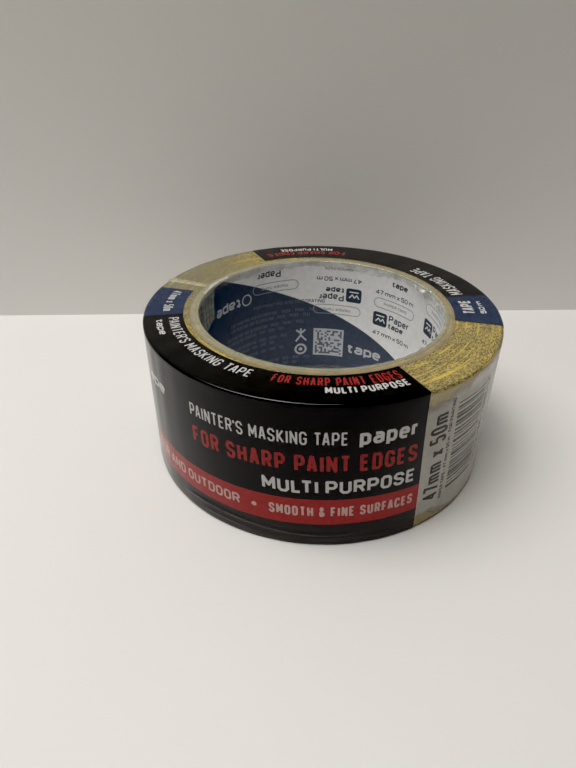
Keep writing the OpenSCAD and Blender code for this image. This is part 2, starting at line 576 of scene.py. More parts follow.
class Ink:
    """Print of one colour on one surface, cut along the surface's own lines and laid on its facets."""

    def __init__(self, name, material, slot, surface, u_lines, v_lines, thickness=INK_T):
        self.name, self.material, self.slot, self.surface = name, material, slot, surface
        self.u_lines, self.v_lines, self.thickness = u_lines, v_lines, thickness
        self.triangles = []

    def add(self, shapes, place):
        """Covers the shapes, which are drawn in mm, moved to surface coordinates by place(x, y)."""
        for tri in united(shapes):
            self.triangles.append([place(x, y) for x, y in tri])

    def text(self, text, height, width, weight, place):
        for shapes in line_shapes(text, height, width, weight):
            self.add(shapes, place)

    def build(self):
        pieces = self.triangles
        for axis, lines in ((0, self.u_lines), (1, self.v_lines)):
            pieces = [part for piece in pieces for part in cut_along(piece, axis, lines)]
        known, faces, uses = {}, [], {}
        for piece in pieces:
            ring = []
            for u, v in piece:
                k = known.setdefault((round(u, 4), round(v, 4)), len(known))
                if k not in ring:
                    ring.append(k)
            if len(ring) > 2:
                faces.append(ring)
                for a, b in zip(ring, ring[1:] + ring[:1]):
                    uses.setdefault((min(a, b), max(a, b)), []).append((a, b))
        flat = np.array(list(known))
        count = len(flat)
        top = self.surface(flat[:, 0], flat[:, 1], self.thickness)
        base = self.surface(flat[:, 0], flat[:, 1], -INK_SUNK)
        faces += [[count + k for k in reversed(ring)] for ring in faces]
        faces += [[b, a, count + a, count + b] for (a, b), *more in uses.values() if not more]
        made = make_solid(self.name, np.concatenate([top, base]), faces, [self.material], flat=True)
        dress(made, self.slot)


def dress(made, slot):
    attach(made, "root")


# ---------- materials

def socket(node, key, value):
    """Links an output to a node's input, or sets the input to a plain value."""
    target = node.inputs[key]
    if isinstance(value, bpy.types.NodeSocket):
        node.id_data.links.new(value, target)
    else:
        target.default_value = value


class Look:
    """A node material with helpers for the patterns that the roll's materials share."""

    def __init__(self, name):
        self.material = bpy.data.materials.new(name)
        self.material.use_nodes = True
        self.tree = self.material.node_tree
        self.tree.nodes.clear()
        self.place = self.node("TexCoord").outputs["Object"]

    def node(self, kind, inputs=None, **properties):
        made = self.tree.nodes.new("ShaderNode" + kind)
        for key, value in properties.items():
            setattr(made, key, value)
        for key, value in (inputs or {}).items():
            socket(made, key, value)
        return made

    def math(self, operation, *values):
        made = self.node("Math", operation=operation)
        for i, value in enumerate(values):
            socket(made, i, value)
        return made.outputs[0]

    def plus(self, a, b):
        return self.math("ADD", a, b)

    def times(self, a, b):
        return self.math("MULTIPLY", a, b)

    def place_xyz(self):
        return self.node("SeparateXYZ", {0: self.place}).outputs

    def height_mm(self):
        return self.math("DIVIDE", self.place_xyz()[2], MM)

    def polar(self, around, across, along):
        """Coordinates that follow the roll: features per radian, per mm of radius and per mm of height."""
        x, y, z = self.place_xyz()
        radius = self.math("SQRT", self.plus(self.times(x, x), self.times(y, y)))
        high = self.plus(self.times(radius, across / MM), self.times(z, along / MM))
        turn_x = self.times(self.math("DIVIDE", x, radius), around)
        turn_y = self.times(self.math("DIVIDE", y, radius), around)
        return self.node("CombineXYZ", {0: turn_x, 1: turn_y, 2: high}).outputs[0]

    def toward(self, at):
        """1 for surface points straight out from the frame's origin at the angle `at`, less for others."""
        out = self.node("VectorMath", {0: self.place}, operation="NORMALIZE")
        along = self.node("VectorMath", {0: out.outputs[0]}, operation="DOT_PRODUCT")
        along.inputs[1].default_value = (math.cos(math.radians(at)), math.sin(math.radians(at)), 0)
        return along.outputs["Value"]

    def noise(self, vector, scale=1.0, detail=3.0, roughness=0.55):
        inputs = {"Vector": vector, "Scale": scale, "Detail": detail, "Roughness": roughness}
        return self.node("TexNoise", inputs).outputs["Fac"]

    def fine(self, per_mm, detail=3.0):
        """Even noise with that many features per mm."""
        return self.noise(self.place, per_mm / MM, detail)

    def ramp(self, value, stops):
        made = self.node("ValToRGB", {"Fac": value})
        elements = made.color_ramp.elements
        while len(elements) < len(stops):
            elements.new(0.5)
        for element, (at, colour) in zip(elements, stops):
            element.position = at
            element.color = (*colour, 1)
        return made.outputs[0]

    def between(self, value, low, high, out_low=0.0, out_high=1.0):
        """value's range from low to high, stretched to run from out_low to out_high."""
        inputs = {"Value": value, "From Min": low, "From Max": high, "To Min": out_low, "To Max": out_high}
        return self.node("MapRange", inputs).outputs[0]

    def mix(self, amount, a, b):
        made = self.node("Mix", data_type="RGBA")
        socket(made, 0, amount)
        for key, value in ((6, a), (7, b)):
            socket(made, key, value if isinstance(value, bpy.types.NodeSocket) else (*value, 1))
        return made.outputs[2]

    def bump(self, height, strength, distance_mm):
        inputs = {"Height": height, "Strength": strength, "Distance": distance_mm * MM}
        return self.node("Bump", inputs).outputs[0]

    def end(self, shader):
        self.node("OutputMaterial", {"Surface": shader.outputs[0]})
        return self.material

    def finish(self, colour, roughness, specular=0.5, normal=None, alpha=None, coat=0.0):
        """Ends the material in one Principled shader; alpha below 1 lets what is behind show through."""
        inputs = {"Base Color": colour, "Roughness": roughness, "Specular IOR Level": specular,
                  "Coat Weight": coat, "Coat Roughness": 0.08, "Normal": normal, "Alpha": alpha}
        given = {key: value for key, value in inputs.items() if value is not None}
        return self.end(self.node("BsdfPrincipled", given))


def film_ink(name, colour, shade, gloss=0.13, painted_table_reflection=0.0):
    """Ink under the film's smooth face: nearly even colour, faint print mottle, soft gloss changes.

    The last argument is how much a painted reflection of the table pales the crumpled foot of the side."""
    look = Look(name)
    mottle = look.fine(0.9, 4)
    cloud = look.fine(0.06, 2)
    tint = look.mix(look.between(mottle, 0.35, 0.65), colour, shade)
    rough = look.between(cloud, 0.3, 0.7, gloss, gloss + 0.09)
    if painted_table_reflection:
        # painted reflection of the table: the ink pales towards the foot of the side
        low = look.plus(look.height_mm(), look.times(cloud, 3.0))
        tint = look.mix(look.between(low, 14.0, 3.0, 0.0, painted_table_reflection), tint, (0.30, 0.265, 0.245))
    normal = look.bump(look.fine(0.22, 2), 0.10, 0.12)
    return look.finish(tint, rough, 0.45, normal)


def clear_film(name, tint, low, high, gloss, by_weld=0.0, folds_and_glints=0.0):
    """Film with no ink: alpha is its haze, which gathers in clouds and along fine pulls.

    by_weld is how much thicker the haze is beside the weld, and the last argument is how strongly painted
    glints whiten the film in small bright flecks round GLINTS_AT."""
    look = Look(name)
    cloud = look.fine(0.25, 4)
    pulls = look.noise(look.polar(5, 1.2, 0.9), 1.0, 3)
    haze = look.between(look.plus(look.times(cloud, 0.6), look.times(pulls, 0.4)), 0.36, 0.64, low, high)
    if by_weld:
        haze = look.plus(haze, look.between(look.toward(SEAM_AT), 0.52, 0.74, 0.0, by_weld))
    shade = look.mix(cloud, tint, tuple(c * 0.8 for c in tint))
    if folds_and_glints:
        # painted glints: small flecks round GLINTS_AT made pale and less clear
        painted_glint = look.between(look.fine(0.30, 2), 0.52, 0.56)
        painted_glint = look.times(painted_glint, look.between(look.toward(GLINTS_AT), 0.575, 0.625, 0.0, folds_and_glints))
        haze = look.plus(haze, painted_glint)
        shade = look.mix(look.math("MINIMUM", look.times(painted_glint, 2.0), 1.0), shade, (0.97, 0.96, 0.92))
    normal = look.bump(look.fine(0.5, 3), 0.25, 0.1)
    return look.finish(shade, gloss, 1.0, normal, alpha=haze, coat=1.0)


def tape_edge_look():
    """Cut edges of the turns: gold paper with brown dashes of adhesive and a few smooth bright turns."""
    look = Look("tape_cut_edge")
    dashes = look.noise(look.polar(44, 4.2, 0.0), 1.0, 3, 0.75)
    grain = look.fine(1.9, 2)
    broad = look.noise(look.polar(2.2, 1.5, 0.0), 1.0, 2, 0.4)
    fleck = look.plus(look.times(dashes, 0.7), look.times(grain, 0.3))
    speckled = look.ramp(fleck, [(0.41, (0.11, 0.070, 0.022)), (0.475, (0.31, 0.210, 0.060)),
                                 (0.515, (0.60, 0.45, 0.12)), (0.58, (0.84, 0.68, 0.24))])
    smooth_turn = look.mix(grain, (0.94, 0.66, 0.09), (0.98, 0.79, 0.18))
    colour = look.mix(look.between(broad, 0.60, 0.64, 0.0, 0.8), speckled, smooth_turn)
    normal = look.bump(fleck, 0.8, 0.15)
    return look.finish(colour, 0.7, 0.3, normal)


def tape_face_look():
    """Outside of the last turn: smooth fibrous paper."""
    look = Look("tape_paper_face")
    fibres = look.noise(look.polar(40, 0.0, 1.6), 1.0, 4, 0.65)
    colour = look.mix(look.between(fibres, 0.35, 0.65), (0.62, 0.47, 0.15), (0.74, 0.59, 0.23))
    return look.finish(colour, 0.6, 0.3, look.bump(fibres, 0.35, 0.05))


def board_look(index):
    """One ply of the core: grey-brown recycled board whose tone changes a little from ply to ply."""
    look = Look(f"core_board_{index}")
    fibres = look.noise(look.polar(34, 4.0, 1.0), 1.0, 4, 0.7)
    specks = look.fine(2.2, 2)
    tone = (1.0, 0.86, 1.06, 0.9, 0.8)[index - 1]
    dark, light = (tuple(c * tone for c in shade) for shade in ((0.44, 0.335, 0.19), (0.62, 0.50, 0.30)))
    colour = look.mix(look.between(fibres, 0.34, 0.66), dark, light)
    colour = look.mix(look.between(specks, 0.64, 0.74), colour, (0.22, 0.16, 0.11))
    return look.finish(colour, 0.85, 0.2, look.bump(fibres, 0.5, 0.08))


def liner_look(name, light, dark):
    """Smooth printed paper inside the core."""
    look = Look(name)
    fibres = look.noise(look.polar(20, 0.0, 0.55), 1.0, 4, 0.6)
    colour = look.mix(look.between(fibres, 0.35, 0.65), dark, light)
    return look.finish(colour, look.between(fibres, 0.3, 0.7, 0.36, 0.5), 0.45, look.bump(fibres, 0.3, 0.05))


def paper_ink(name, light, dark):
    look = Look(name)
    patchy = look.fine(1.6, 3)
    return look.finish(look.mix(look.between(patchy, 0.3, 0.7), dark, light), 0.45, 0.4)


# the black ink's foot carries a painted reflection of the table
BLACK_INK = film_ink("film_ink_black", (0.0052, 0.0054, 0.0055), (0.0068, 0.0070, 0.0068), painted_table_reflection=0.12)
BLUE_INK = film_ink("film_ink_blue", (0.019, 0.034, 0.078), (0.024, 0.041, 0.092))
RED_INK = film_ink("film_ink_red", (0.31, 0.028, 0.026), (0.36, 0.036, 0.032))
LETTER_RED = film_ink("film_letters_red", (0.30, 0.030, 0.028), (0.35, 0.038, 0.034))
LETTER_WHITE = film_ink("film_letters_white", (0.54, 0.535, 0.515), (0.60, 0.595, 0.575))
LETTER_PINK = film_ink("film_letters_on_red", (0.55, 0.36, 0.33), (0.60, 0.41, 0.375))
LETTER_DARK = film_ink("film_letters_dark", (0.022, 0.021, 0.020), (0.035, 0.033, 0.031))
LETTER_GREY = film_ink("film_letters_grey", (0.040, 0.038, 0.037), (0.060, 0.057, 0.055))
CLEAR_FILM = clear_film("film_clear", (0.35, 0.34, 0.22), 0.10, 0.26, 0.12, by_weld=0.28)
CRINKLED_FILM = clear_film("film_clear_crumpled", (0.50, 0.53, 0.38), 0.16, 0.46, 0.10)
# the tucked film carries painted glints round GLINTS_AT
TUCKED_FILM = clear_film("film_clear_tucked", (0.44, 0.46, 0.38), 0.03, 0.22, 0.06, folds_and_glints=0.9)
WELD_FILM = clear_film("film_weld", (0.75, 0.75, 0.66), 0.10, 0.50, 0.10)
# painted highlight: pale, nearly opaque haze along the curled edge
CURL_HIGHLIGHT_FILM = clear_film("film_clear_curled", (0.90, 0.90, 0.82), 0.15, 0.85, 0.10)
FOLDED_FILM = clear_film("film_clear_folded", (0.48, 0.50, 0.42), 0.45, 0.95, 0.12)


def panel_look():
    """Thin white ink on the clear film: it thins out at the rims, most of all beside the black print."""
    look = Look("film_ink_white_panel")
    patches = look.fine(0.10, 3)
    mottle = look.fine(1.4, 4)
    colour = look.mix(look.between(patches, 0.38, 0.62), (0.43, 0.405, 0.35), (0.49, 0.47, 0.43))
    colour = look.mix(look.between(mottle, 0.55, 0.8), colour, (0.36, 0.33, 0.275))
    x, y, z = look.place_xyz()
    # painted highlight: the panel pales towards the top of the side
    colour = look.mix(look.between(z, 41.5 * MM, 45.5 * MM, 0.0, 0.75), colour, (0.86, 0.82, 0.74))
    # how near the surface is to the clear zone's edge at -60 degrees, or to the one opposite
    away = look.math("SUBTRACT", look.times(x, 0.5 / (FILM_R * MM)), look.times(y, 0.866 / (FILM_R * MM)))
    beside_black = look.between(look.math("ABSOLUTE", away), 0.95, 0.995)
    waver = look.times(look.fine(0.3, 3), 5.0)
    high = look.plus(look.math("DIVIDE", z, MM), waver)
    top = look.between(look.plus(high, look.times(beside_black, 3.5)), 49.5, 46.5)
    foot = look.between(look.math("SUBTRACT", high, look.times(beside_black, 4.0)), 1.5, 4.5)
    cover = look.between(look.times(top, foot), 0.0, 1.0, 0.25, 0.97)
    rough = look.between(patches, 0.3, 0.7, 0.16, 0.26)
    return look.finish(colour, rough, 0.5, look.bump(look.fine(0.22, 2), 0.12, 0.12), alpha=cover)


WHITE_PANEL = panel_look()
LINER_BLUE = liner_look("liner_print_blue", (0.088, 0.105, 0.147), (0.070, 0.086, 0.124))
LINER_WHITE = liner_look("liner_paper_white", (0.93, 0.93, 0.92), (0.85, 0.85, 0.84))
LINER_INK_DARK = paper_ink("liner_ink_slate", (0.085, 0.10, 0.13), (0.055, 0.068, 0.095))
LINER_INK_GREY = paper_ink("liner_ink_grey", (0.40, 0.41, 0.43), (0.33, 0.34, 0.36))
LINER_INK_WHITE = paper_ink("liner_ink_white", (0.62, 0.64, 0.66), (0.52, 0.54, 0.57))
LINER_INK_FAINT = paper_ink("liner_ink_pale_blue", (0.165, 0.185, 0.230), (0.135, 0.155, 0.200))

# ---------- the film

FILM_IN = FILM_P - FILM_T * FILM_N
u_mid = (U_LINES[:-1] + U_LINES[1:]) / 2
v_mid = (V_LINES[:-1] + V_LINES[1:]) / 2
FILM_LOOKS = [CLEAR_FILM, CRINKLED_FILM, BLACK_INK, BLUE_INK, RED_INK, WHITE_PANEL, WELD_FILM, FOLDED_FILM,
              TUCKED_FILM, CURL_HIGHLIGHT_FILM]
film = make_shell("shrink_film_printed", FILM_P, FILM_IN, FILM_LOOKS, lambda i, j: ink_at(u_mid[i], v_mid[j]))
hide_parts("shrink_film")
dress(film, "printed_film")

# ---------- the tape

TURN_STEP = 0.26                # radial distance between the lines of the cut faces
TAPE_COLUMN = 0.75              # degrees between its lines round the roll
TAPE_RIM = 0.85                 # radius of the winding's outer edges
MAX_TURNS = 200                 # lines of a cut face that can have a height of their own
FREE_END_AT = 60                # the tape's free end is cut off square here
STEP_RUN = 3.1                  # degrees over which the film-covered side rises again past the free end
TAPE_T = 0.08                   # thickness of the tape


def ring_solid(name, outline, columns, materials, pick):
    """A closed ring from outline(phi), the (r, z) arrays at one angle. pick(j) is the material of run j."""
    rings = []
    for phi in np.arange(columns) * 360 / columns:
        r, z = outline(phi)
        rings.append(round_axis(r, phi, z))
    count = len(rings[0])
    faces, indices = [], []
    for i in range(columns):
        k = (i + 1) % columns
        for j in range(count):
            m = (j + 1) % count
            faces.append((i * count + j, k * count + j, k * count + m, i * count + m))
            indices.append(pick(j))
    return make_solid(name, np.concatenate(rings), faces, materials, indices)


def tape_outline():
    """(r, z, run) along the section: lower face, side and upper face, and back down the inside."""
    rim_r = TAPE_R - TAPE_RIM
    flats = np.linspace(CORE_R, rim_r, round((rim_r - CORE_R) / TURN_STEP) + 1)
    low = arc_points(rim_r, TAPE_BASE + TAPE_RIM, TAPE_RIM, np.linspace(-90, 0, 6)[1:])
    side = [(TAPE_R, z) for z in np.linspace(TAPE_BASE + TAPE_RIM, TAPE_TOP - TAPE_RIM, 24)[1:]]
    high = [(r, TAPE_TOP + TAPE_BASE - z) for r, z in reversed(low)][1:]
    inner = [(CORE_R, z) for z in np.linspace(TAPE_TOP, TAPE_BASE, 12)[1:-1]]
    points = [(r, TAPE_BASE) for r in flats] + low + side + high + [(rim_r, TAPE_TOP)]
    points += [(r, TAPE_TOP) for r in flats[::-1][1:]] + inner
    runs = [0] * (len(flats) - 1 + len(low)) + [1] * len(side) + [0] * (len(high) + len(flats))
    runs += [1] * (len(points) - len(runs))
    return np.array(points), runs


TAPE_POINTS, TAPE_RUNS = tape_outline()
turn_rng = np.random.default_rng(21)
broad_dip = turn_rng.uniform(0, 0.05, 60)
TURN_DIP = np.interp(np.linspace(0, 1, MAX_TURNS), np.linspace(0, 1, len(broad_dip)), broad_dip)
TURN_DIP = TURN_DIP + turn_rng.uniform(0, 0.035, MAX_TURNS)
TURN_PHASE = turn_rng.uniform(0, math.tau, MAX_TURNS)
TURN_WAVES = turn_rng.integers(2, 9, MAX_TURNS)


def tape_ring(phi):
    """The winding's outline at one angle: each turn sits a few hundredths of a millimetre off the next."""
    r, z = TAPE_POINTS.T
    which = np.clip(np.round((r - CORE_R) / TURN_STEP), 0, MAX_TURNS - 1).astype(int)
    wave = np.sin(TURN_WAVES[which] * math.radians(phi) + TURN_PHASE[which])
    dip = TURN_DIP[which] + 0.018 * (1 + wave)
    on_face = np.abs(z - (TAPE_TOP + TAPE_BASE) / 2) > (TAPE_TOP - TAPE_BASE) / 2 - 1e-6
    z = np.where(on_face, z - np.sign(z - ROLL_H / 2) * dip, z)
    step = TAPE_T * max(0.0, 1 - (phi - FREE_END_AT) % 360 / STEP_RUN) ** 2
    return np.where(r > TAPE_R - TAPE_RIM, r - step, r), z


tape = ring_solid("tape_wound_turns", tape_ring, round(360 / TAPE_COLUMN),
                  [tape_edge_look(), tape_face_look()], lambda j: TAPE_RUNS[j])
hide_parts("tape_winding")
dress(tape, "tape_paper")

# ---------- the core

for i in range(1, PLIES + 1):
    frame["nodes"][f"core_ply_{i}"].data.materials[0] = board_look(i)

SEAM_SLOPE = 3.375              # degrees round the bore for each mm of height, along the liner's lap
SEAM_FOOT = 150 - SEAM_SLOPE * 46
LAP = 2.6                       # width of the lap, in degrees
LAP_RAMP = 1.2                  # and of the slope on to it
LAP_STEP = 0.12                 # and of the cut edge on top
LAP_T = 0.07                    # thickness of the liner's paper
BLUE_WIDTH = 172                # degrees of the blue part
LINER_COLUMN = 1.5              # degrees between the liner's lines


def lap_height(w):
    """The liner is double over its lap: w is the angle from the lap's edge."""
    w = turn(w, 0)
    return LAP_T * smooth(w, -LAP - LAP_RAMP, -LAP) * (1 - smooth(w, -LAP_STEP, 0))


def liner_radius(w, z):
    return BORE_R - lap_height(w) + 0.02 * ripples(w, z, 31, 8, (3, 12), 0.03)


def liner_grid():
    edges = [-LAP - LAP_RAMP, -LAP - LAP_RAMP / 2, -LAP, -LAP / 2, -LAP_STEP, 0, BLUE_WIDTH]
    ws = lines_between(-180, 180, LINER_COLUMN, edges)
    zs = lines_between(TAPE_BASE, TAPE_TOP, 0.45, [])
    w, z = np.meshgrid(ws, zs, indexing="ij")
    phi = w + SEAM_FOOT + SEAM_SLOPE * z
    return ws, round_axis(liner_radius(w, z), phi, z), round_axis(LINER_R, phi, z)


LINER_W, LINER_IN, LINER_OUT = liner_grid()
liner = make_shell("core_liner_printed", LINER_IN, LINER_OUT, [LINER_WHITE, LINER_BLUE],
                   lambda i, j: int(0 <= LINER_W[i] < BLUE_WIDTH - 0.01))
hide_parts("core_liner")
dress(liner, "liner_paper")


def on_liner(phi, z, lift):
    return round_axis(liner_radius(phi - SEAM_FOOT - SEAM_SLOPE * z, z) - lift, phi, z)


LINER_U = np.arange(-180, 360, LINER_COLUMN)
LINER_V = np.arange(0.0, ROLL_H, 2.0)

# ---------- the film's print

SIDE_DEGREE = math.radians(FILM_R)      # length of one degree round the side, in mm
BORE_DEGREE = math.radians(BORE_R)      # and round the bore


def side_text(u0, z0):
    """Upright print on the side: x runs to the right from angle u0, and y up from height z0."""
    return lambda x, y: (u0 + x / SIDE_DEGREE, v_side(z0) + y)


def side_upward(u0, z0):
    """Print that reads upwards on the side, with the feet of its letters at angle u0."""
    return lambda x, y: (u0 - y / SIDE_DEGREE, v_side(z0) + x)


def top_text(u0, r0, r_mid):
    """Print on the upper face with its letters' heads towards the centre and their feet at radius r0."""
    return lambda x, y: (u0 + x / math.radians(r_mid), v_top(r0) + y)


def base_text(u0, r0, r_mid):
    """The same on the lower face, as read from below."""
    return lambda x, y: (u0 - x / math.radians(r_mid), v_base(r0) - y)


def disc(radius):
    return arc_points(0, 0, radius, range(0, 360, 30))


def film_ink_piece(name, material):
    return Ink(name, material, "printed_film", on_film, U_LINES, V_LINES)


white = film_ink_piece("film_print_white", LETTER_WHITE)
red = film_ink_piece("film_print_red", LETTER_RED)
pale = film_ink_piece("film_print_on_band", LETTER_PINK)
dark = film_ink_piece("film_print_dark", LETTER_DARK)
bars = film_ink_piece("film_print_bars", LETTER_GREY)

BARS_Z = (9.5, 40.4)            # heights of the first and the last bar
BAR_LONG = 13.6
BAR_UNIT = 0.30                 # a bar is one to three of these thick
GAP_UNIT = 0.32                 # and a gap one to three of these

# (ink, text, weight, first angle, last angle, lowest and highest z) for the black zone at the front
SIDE_LINES = [
    (white, "PAINTER'S MASKING TAPE", 0.50, -128, -82, 35.0, 39.0),
    (white, "paper", 0.95, -79, -62.5, 34.8, 39.6),
    (red, "FOR SHARP PAINT EDGES", 0.95, -128, -62, 26.3, 31.8),
    (white, "MULTI PURPOSE", 0.85, -105.5, -62, 19.0, 23.5),
    (white, "tape", 0.75, -156, -141, 35.0, 38.5),
    (pale, "INDOOR AND OUTDOOR", 0.62, -160, -113, 10.8, 14.3),
    (pale, "SMOOTH & FINE SURFACES", 0.62, -104, -62, 10.8, 14.3),
]
# (ink, text, weight, first angle, last angle, radii of feet and heads) for the faces' front and back halves
FACE_LINES = [
    [
        (white, "PAINTER'S MASKING TAPE", 0.46, -165, -112, 47.0, 43.2),
        (white, "tape", 0.46, -164, -153, 50.6, 48.4),
        (red, "FOR SHARP PAINT EDGES", 0.47, -105, -62.5, 46.4, 42.8),
        (white, "MULTI PURPOSE", 0.52, -88, -62.5, 49.7, 46.9),
        (white, "47mm x 50m", 0.42, -189, -171, 48.9, 45.7),
    ], [
        (white, "MASKING TAPE", 0.50, 14, 45, 47.4, 43.6),
        (red, "FOR SHARP EDGES", 0.56, 80, 116, 48.2, 45.0),
        (white, "MULTI PURPOSE", 0.45, 86, 109, 51.2, 48.7),
        (white, "TAPE", 0.75, -4, 8, 47.2, 43.9),
        (white, "50 m", 0.45, -3, 7, 50.4, 48.6),
    ],
]
for around, face_lines in zip(HALVES, FACE_LINES):
    for ink, text, weight, start, end, low, high in SIDE_LINES:
        width = (end - start) * SIDE_DEGREE
        ink.text(text, high - low, width, weight, side_text(start + around, low))
    for ink, text, weight, start, end, feet, heads in face_lines:
        middle = (feet + heads) / 2
        width = (end - start) * math.radians(middle)
        ink.text(text, feet - heads, width, weight, top_text(start, feet, middle))
        ink.text(text, feet - heads, width, weight, base_text(end, feet, middle))
    pale.add([disc(0.75)], side_text(-108.5 + around, 12.4))

    # the label: the sizes, a line of small print, made-up bars and their digits
    dark.text("47mm x 50m", 5.8, 30.2, 0.86, side_upward(-51.9 + around, 8.4))
    bars.text("PAPER TAPE - 47 mm x 50 m - FOR PAINTING", 1.3, 35.0, 0.24, side_upward(-49.9 + around, 7.0))
    bars.text("0 123456 789012", 2.2, 30.5, 0.34, side_upward(-30.6 + around, 10.0))
    bar_rng = np.random.default_rng(5)
    z = BARS_Z[0]
    while z < BARS_Z[1]:
        thick = BAR_UNIT * bar_rng.integers(1, 4)
        bars.add([rectangle(0, 0, BAR_LONG, thick)], side_text(-48.3 + around, z))
        z += thick + GAP_UNIT * bar_rng.integers(1, 4)

for ink in (white, red, pale, dark, bars):
    ink.build()

# ---------- the liner's print


def bore_text(phi0, z0, upside_down=False):
    """Print in the bore, read from its axis: x runs towards smaller angles."""
    way = -1 if upside_down else 1
    return lambda x, y: (phi0 - way * x / BORE_DEGREE, z0 + way * y)


def liner_ink_piece(name, material):
    return Ink(name, material, "liner_paper", on_liner, LINER_U, LINER_V)


slate = liner_ink_piece("liner_print_slate", LINER_INK_DARK)
snow = liner_ink_piece("liner_print_white", LINER_INK_WHITE)
faint = liner_ink_piece("liner_print_pale", LINER_INK_FAINT)
chalk = liner_ink_piece("liner_print_chalk", LINER_WHITE)
grey = liner_ink_piece("liner_print_grey", LINER_INK_GREY)
chalk.thickness = snow.thickness = 0.035    # they lie over the other print


def tile(wide, tall, corner):
    """A rounded rectangle from the origin."""
    right, top = wide - corner, tall - corner
    corners = ((right, corner, -90), (right, top, 0), (corner, top, 90), (corner, corner, 180))
    return [p for x, y, start in corners for p in arc_points(x, y, corner, range(start, start + 91, 30))]


def bore_line(ink, text, weight, start, end, low, high, upside_down=False):
    """A line of print between two angles and two heights, start being the left for a reader in the bore."""
    width = abs(start - end) * BORE_DEGREE
    place = bore_text(end if upside_down else start, high if upside_down else low, upside_down)
    ink.text(text, high - low, width, weight, place)


def pill(start, end, low, high, _):
    """A grey rounded outline, the same either way up."""
    tall = high - low
    outline = tile((start - end) * BORE_DEGREE, tall, tall / 2 - 0.01)
    grey.add(stroke_shapes(outline + outline[:1], 0.28), bore_text(start, low))


def emblem(start, end, low, high, _):
    """A slate tile with a made-up mark in lighter strokes, always upright: two hills under a bar."""
    wide, tall = (start - end) * BORE_DEGREE, high - low
    slate.add([tile(wide, tall, 0.9)], bore_text(start, low))
    for points in EMBLEM:
        stroke = [(x * wide, y * tall) for x, y in points]
        chalk.add(stroke_shapes(stroke, 0.45), bore_text(start, low))


# the emblem's strokes, in shares of its tile
EMBLEM = [
    [(0.2, 0.3), (0.4, 0.55), (0.55, 0.35), (0.7, 0.55), (0.85, 0.3)],
    [(0.22, 0.75), (0.8, 0.75)],
]
REPEAT = 16.5                   # mm from one tile of a column to the next
COLUMN_WIDE = 28.0              # degrees
TILE_WIDE, TILE_TALL = 9, 5.5   # degrees and mm
LINER_MARGIN = 0.8              # the print keeps this far off the liner's ends
LAP_MARGIN = 22                 # and the middle of a column this many degrees off the blue part


def column_print(left, foot, flipped):
    """One repeat of a column: a tile with two words beside it, a line of small print and a word in a pill."""
    def draw(kind, from_left, from_foot, wide, tall, *words):
        """Draws in a box of the column, turned round if the column is, unless it runs off the liner."""
        if flipped:
            from_left, from_foot = COLUMN_WIDE - from_left - wide, TILE_TALL - from_foot - tall
        start, low = left - from_left, foot + from_foot
        if TAPE_BASE + LINER_MARGIN < low and low + tall < TAPE_TOP - LINER_MARGIN:
            kind(*words, start, start - wide, low, low + tall, flipped)

    draw(emblem, 0, 0, TILE_WIDE, TILE_TALL)
    draw(bore_line, 10.2, 3.0, 14.5, 2.6, slate, "Paper", 0.48)
    draw(bore_line, 10.2, 0.3, 10.5, 2.1, slate, "tape", 0.48)
    draw(bore_line, 0.5, -4.0, 25.5, 1.7, slate, "47 mm x 50 m", 0.30)
    draw(pill, 0, 7.4, 27.5, 3.7)
    draw(bore_line, 6, 8.7, 16, 1.1, grey, "PAPER TAPE", 0.2)


# (angle at the left, height of a tile's foot, whether it is upside down) for each column of the white half
COLUMNS = [(131.5, 42.1, True), (95.0, 31.8, True), (59.0, 25.0, False),
           (22.0, 31.7, False), (-14.0, 22.0, True), (-50.0, 27.0, False)]
for left, foot, flipped in COLUMNS:
    for low in (foot + step * REPEAT for step in (-2, -1, 0, 1)):
        from_lap = turn(left - COLUMN_WIDE / 2 - SEAM_FOOT - SEAM_SLOPE * (low + 3), 0)
        if -180 + LAP_MARGIN < from_lap < -LAP_MARGIN:
            column_print(left, low, flipped)


def ring_stroke(middle, radius, weight):
    """A drawn ring, centred as far from both sides as middle says."""
    return stroke_shapes(arc_points(middle, middle, radius, np.arange(0, 361, 22.5)), weight)


# blue half, all in white or pale blue: a word and a ring, a word, rows of small print and a chequered tile
bore_line(snow, "tape", 0.75, 160, 140, 33.6, 37.4, True)
snow.add(ring_stroke(2, 2, 0.5), bore_text(138.5, 33.8))
bore_line(snow, "tape", 0.85, 73, 52, 10.0, 14.2)
bore_line(faint, "FOR PAINTING AND DECORATING", 0.26, 131, 88, 30.6, 32.0)
ROWS = [(27.0, 148, 92), (24.9, 148, 96), (22.0, 152, 100), (19.9, 152, 112), (16.6, 156, 110),
        (14.5, 156, 118), (11.6, 150, 112), (6.2, 140, 96), (4.0, 140, 104)]
for low, start, end in ROWS:
    bore_line(faint, "FOR PAINTING AND DECORATING - MASK - PAINT - PEEL", 0.28, start, end, low, low + 1.5)

CHEQUER = 18 * BORE_DEGREE      # size of the chequered tile
CELLS = 16
FILL = 0.60                     # share of its cells that are white
SLIT = 0.01                     # half of the gap between its rows
at_chequer = bore_text(94, 7.6)
faint.add([rectangle(0, 0, CHEQUER, CHEQUER)], at_chequer)
grid_rng = np.random.default_rng(9)
cell = CHEQUER / CELLS
for row in range(CELLS):
    edge_row = row in (0, CELLS - 1)
    filled = [True, *(edge_row or grid_rng.uniform() < FILL for _ in range(CELLS - 2)), True, False]
    column = 0
    while column < CELLS:
        first = column
        while filled[column]:
            column += 1
        if column > first:
            run = rectangle(first * cell, row * cell + SLIT, column * cell, (row + 1) * cell - SLIT)
            snow.add([run], at_chequer)
        column += 1

